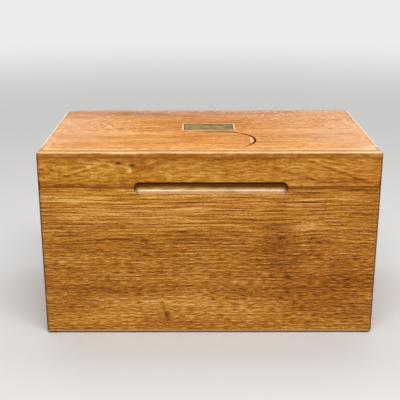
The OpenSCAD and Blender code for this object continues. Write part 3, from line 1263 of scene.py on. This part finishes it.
@dataclass
class WornPanel:
    """The panel over the lid, with a rounded edge that hands and knocks have worn, most at the back left."""

    half_width: float = 0.1778
    half_depth: float = 0.1048
    low: float = 0.1988
    high: float = 0.20515
    edge_radius: float = 0.004
    corners: tuple[PanelCorner, ...] = (
        PanelCorner(1, -1, -90.0, 0.0045),
        PanelCorner(1, 1, 0.0, 0.0065),
        PanelCorner(-1, 1, 90.0, 0.012),
        PanelCorner(-1, -1, 180.0, 0.0045),
    )
    arc_steps: int = 14
    edge_step: float = 0.003
    round_steps: int = 9
    flat_rings: tuple[float, ...] = (0.006, 0.009, 0.013, 0.018, 0.025, 0.034)
    wear_depth: float = 0.0005
    wear_length: float = 0.045
    dent_depth: float = 0.0011
    dent_length: float = 0.007
    dent_floor: float = 0.25
    sunk_corner: Pair = (-0.1778, 0.1048)
    sunk_depth: float = 0.0012
    sunk_reach: float = 0.013

    def _walk(self) -> list[tuple[Vector, Vector]]:
        """Walks round the panel's plan.

        Returns:
            Points on the outline, each with the direction that the edge faces there.
        """
        turning = []
        for corner in self.corners:
            x = corner.side_x * (self.half_width - corner.radius)
            y = corner.side_y * (self.half_depth - corner.radius)
            for step in range(self.arc_steps + 1):
                angle = math.radians(corner.start_degrees + QUARTER_TURN * step / self.arc_steps)
                outward = Vector((math.cos(angle), math.sin(angle), 0.0))
                turning.append((Vector((x, y, 0.0)) + outward * corner.radius, outward))
        walk = []
        for (point, outward), (ahead, _) in zip(turning, turning[1:] + turning[:1]):
            pieces = max(1, round((ahead - point).length / self.edge_step))
            walk += [(point.lerp(ahead, i / pieces), outward) for i in range(pieces)]
        return walk

    def _wear(self, point: Vector) -> float:
        """Gives how far the edge is worn back.

        Args:
            point: a point of the outline.

        Returns:
            The broad wear and the dents together.
        """
        broad = max(0.0, noise.noise(point / self.wear_length)) * self.wear_depth
        dent = max(0.0, noise.noise(point / self.dent_length) - self.dent_floor) * self.dent_depth
        return broad + dent

    def _sunk(self, point: Vector) -> Vector:
        """Gives how far a point is knocked down, which is most at the worn corner."""
        away = math.hypot(point.x - self.sunk_corner[0], point.y - self.sunk_corner[1])
        return Vector((0.0, 0.0, self.sunk_depth * math.exp(-((away / self.sunk_reach) ** 2))))

    def _rings(self) -> list[list[Vector]]:
        """Gives the closed lines of points from the lower edge, over the round edge and on to the flat.

        Returns:
            The rings, all with the same number of points.
        """
        walk = self._walk()
        rings = [[point + Vector((0.0, 0.0, self.low)) for point, _ in walk]]
        for step in range(self.round_steps + 1):
            angle = math.radians(QUARTER_TURN * step / self.round_steps)
            ring = []
            for point, outward in walk:
                facing = outward * math.cos(angle) + Vector((0.0, 0.0, math.sin(angle)))
                middle = point - outward * self.edge_radius
                middle.z = self.high - self.edge_radius
                worn = self._wear(point) * math.sin(2.0 * angle)
                place = middle + facing * (self.edge_radius - worn)
                ring.append(place - self._sunk(point) * math.sin(angle))
            rings.append(ring)
        for inset in self.flat_rings:
            reach_x, reach_y = self.half_width - inset, self.half_depth - inset
            ring = []
            for point, outward in walk:
                inner = point - outward * min(inset, self.edge_radius)
                x = max(-reach_x, min(reach_x, inner.x))
                y = max(-reach_y, min(reach_y, inner.y))
                place = Vector((x, y, self.high))
                ring.append(place - self._sunk(place))
            rings.append(ring)
        return rings

    def build(self) -> bpy.types.Object:
        """Makes the panel, which stands for the plain one.

        Returns:
            The panel, riding on the lid.
        """
        form = bmesh.new()
        rings = [[form.verts.new(place) for place in ring] for ring in self._rings()]
        count = len(rings[0])
        for lower, upper in zip(rings, rings[1:]):
            for i in range(count):
                j = (i + 1) % count
                form.faces.new((lower[i], lower[j], upper[j], upper[i]))
        form.faces.new(rings[-1])
        form.faces.new(list(reversed(rings[0])))
        bmesh.ops.remove_doubles(form, verts=form.verts, dist=MERGE_DISTANCE)
        bmesh.ops.dissolve_degenerate(form, edges=form.edges, dist=MERGE_DISTANCE)
        bmesh.ops.recalc_face_normals(form, faces=form.faces)
        mesh = bpy.data.meshes.new("worn_top_panel")
        form.to_mesh(mesh)
        form.free()
        mesh.shade_smooth()
        mesh.set_sharp_from_angle(angle=math.radians(SHARP_DEGREES))
        panel = bpy.data.objects.new("worn_top_panel", mesh)
        bpy.context.scene.collection.objects.link(panel)
        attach(panel, "lid")
        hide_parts("top_panel")
        return panel


@dataclass
class Lid(Assembly):
    """The lid: four rails, the panel over them and the blank name plate."""

    plate_middle: Pair = (0.0, 2.5)
    plate_field_half: Pair = (28.2, 16.0)
    # The panel's own specular is off; its sheen is painted.
    panel_specular: float = 0.0
    boards: tuple[Figure, ...] = (
        LID_FRONT,
        Figure("lid_back", Run.FRONT, 83.0, 0.55, marks=(*LID_LINES, PaintedCornerShade())),
        Figure("lid_left", Run.SIDE, 97.0, 0.55, marks=LID_LINES),
        Figure("lid_right", Run.SIDE, 101.0, 0.55, marks=LID_LINES),
    )

    def dress(self) -> None:
        """Gives every piece of the lid its finish."""
        self.put_walnut()
        polish = Polish(specular=self.panel_specular)
        self.put_on(WornPanel().build(), WoodFinish(TOP_PANEL, WALNUT, polish).make())
        plate = PlateFinish("plate_brass", self.plate_middle, self.plate_field_half)
        self.put_on(self.nodes["name_plate"], plate.make())


@dataclass
class Hinges(Assembly):
    """The two butt hinges with their pins and screws."""

    leaf: MetalFinish = MetalFinish("hinge_brass", seed=3.0)
    screw: MetalFinish = MetalFinish("screw_brass", seed=9.0, tarnish_amount=0.8)

    def dress(self) -> None:
        """Gives the leaves, pins and screws their brass."""
        leaf, screw = self.leaf.make(), self.screw.make()
        for name in sorted(n for n in self.nodes if n.startswith("hinge_")):
            self.put_on(self.nodes[name], screw if name.endswith("screws") else leaf)


@dataclass
class Studio:
    """A pale floor and an even sky, with one soft lamp above the front of the box and one above its back."""

    floor_half: float = 14.0
    floor_colour: Colour = (0.66, 0.655, 0.65)
    floor_shade: Colour = (0.55, 0.545, 0.54)
    floor_shading: float = 0.15
    floor_cloud: Pair = (60.0, 3.0)
    floor_roughness: float = 0.7
    backdrop: Colour = (0.84, 0.838, 0.832)
    light: Colour = (1.0, 1.0, 1.0)
    sky: float = 0.42
    fade: Pair = (0.5, 2.6)
    aim: Triple = (0.0, 0.0, 0.1)
    key_place: Triple = (0.1, -0.74, 1.47)
    key_size: Pair = (1.2, 0.6)
    key_power: float = 19.0
    back_place: Triple = (0.0, 0.45, 1.35)
    back_size: Pair = (1.3, 0.5)
    back_power: float = 5.5

    def _floor(self) -> None:
        """Lays the floor."""
        half = self.floor_half
        mesh = bpy.data.meshes.new("studio_floor")
        corners = [(-half, -half, 0.0), (half, -half, 0.0), (half, half, 0.0), (-half, half, 0.0)]
        mesh.from_pydata(corners, [], [range(len(corners))])
        floor = bpy.data.objects.new("studio_floor", mesh)
        bpy.context.scene.collection.objects.link(floor)
        mesh.materials.append(self._floor_finish())

    @staticmethod
    def _seen(bench: Bench) -> Signal:
        """Finds the rays that look at the background, straight or by a gloss.

        Args:
            bench: the material or sky being made.

        Returns:
            1 for such a ray and 0 for light that falls on the box.
        """
        rays = ("Is Camera Ray", "Is Glossy Ray", "Is Transmission Ray")
        camera, gloss, through = (bench.node("ShaderNodeLightPath", {}, {}, ray) for ray in rays)
        return camera.higher(gloss).higher(through)

    def _floor_finish(self) -> bpy.types.Material:
        """Makes the floor's finish, which turns into the plain backdrop further out.

        Returns:
            The material.
        """
        bench = Bench.material("studio_floor")
        point = bench.node("ShaderNodeTexCoord", {}, {}, "Object")
        scale, detail = self.floor_cloud
        cloud = bench.node("ShaderNodeTexNoise", {}, {"Vector": point, "Scale": scale, "Detail": detail})
        colour = bench.blend(cloud * self.floor_shading, self.floor_colour, self.floor_shade)
        inputs = {"Base Color": colour, "Roughness": self.floor_roughness}
        near = bench.node("ShaderNodeBsdfPrincipled", {}, inputs)
        far = bench.node("ShaderNodeEmission", {}, {"Color": self.backdrop, "Strength": FULL})
        amount = bench.length(point).rise(*self.fade) * self._seen(bench)
        return bench.surface(bench.node("ShaderNodeMixShader", {}, {0: amount, 1: near, 2: far}))

    def _sky(self) -> None:
        """Lights the world evenly, and shows the backdrop's colour where it is seen."""
        bench = Bench(bpy.data.worlds.new("studio_sky"))
        light = bench.node("ShaderNodeBackground", {}, {"Color": self.light, "Strength": self.sky})
        seen = bench.node("ShaderNodeBackground", {}, {"Color": self.backdrop, "Strength": FULL})
        mixed = bench.node("ShaderNodeMixShader", {}, {0: self._seen(bench), 1: light, 2: seen})
        bpy.context.scene.world = bench.surface(mixed)

    def _lamp(self, name: str, place: Triple, power: float, size: Pair) -> None:
        """Hangs one rectangular lamp, which shines at the box.

        Args:
            name: the lamp's name.
            place: where it hangs.
            power: its power in watts.
            size: its width and height.
        """
        data = bpy.data.lights.new(name, "AREA")
        data.shape = "RECTANGLE"
        data.size, data.size_y = size
        data.energy = power
        lamp = bpy.data.objects.new(name, data)
        lamp.location = place
        lamp.rotation_mode = "QUATERNION"
        lamp.rotation_quaternion = (Vector(self.aim) - Vector(place)).to_track_quat("-Z", "Y")
        bpy.context.scene.collection.objects.link(lamp)

    def build(self) -> None:
        """Sets up the floor, the sky and the lamps."""
        bpy.context.scene.view_settings.view_transform = "Standard"
        self._floor()
        self._sky()
        self._lamp("key", self.key_place, self.key_power, self.key_size)
        self._lamp("back", self.back_place, self.back_power, self.back_size)
        LOG.info("studio: floor, sky and 2 lamps")


@dataclass
class Viewpoint:
    """The camera: where it stands and how it looks down at the box."""

    place: Triple = (-0.01153, -0.89204, 0.41101)
    down_degrees: float = 18.12
    turn_degrees: float = -0.111
    lens: float = 71.84
    sensor: float = 36.0

    def build(self) -> None:
        """Makes the camera and hands it to the scene."""
        data = bpy.data.cameras.new("viewpoint")
        data.lens = self.lens
        data.sensor_width = self.sensor
        camera = bpy.data.objects.new("viewpoint", data)
        camera.location = self.place
        tilt = math.radians(QUARTER_TURN - self.down_degrees)
        camera.rotation_euler = Euler((tilt, 0.0, math.radians(self.turn_degrees)))
        bpy.context.scene.collection.objects.link(camera)
        bpy.context.scene.camera = camera
        LOG.info("viewpoint: %.2f mm lens", self.lens)


def main() -> None:
    """Loads the frame, dresses each sub-assembly and sets up the studio and the viewpoint."""
    logging.basicConfig(level=logging.INFO, format="%(name)s %(message)s")
    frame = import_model()
    for assembly in (Base, Lid, Hinges):
        assembly(frame["nodes"]).dress()
    Studio().build()
    Viewpoint().build()


if __name__ == "__main__":
    main()
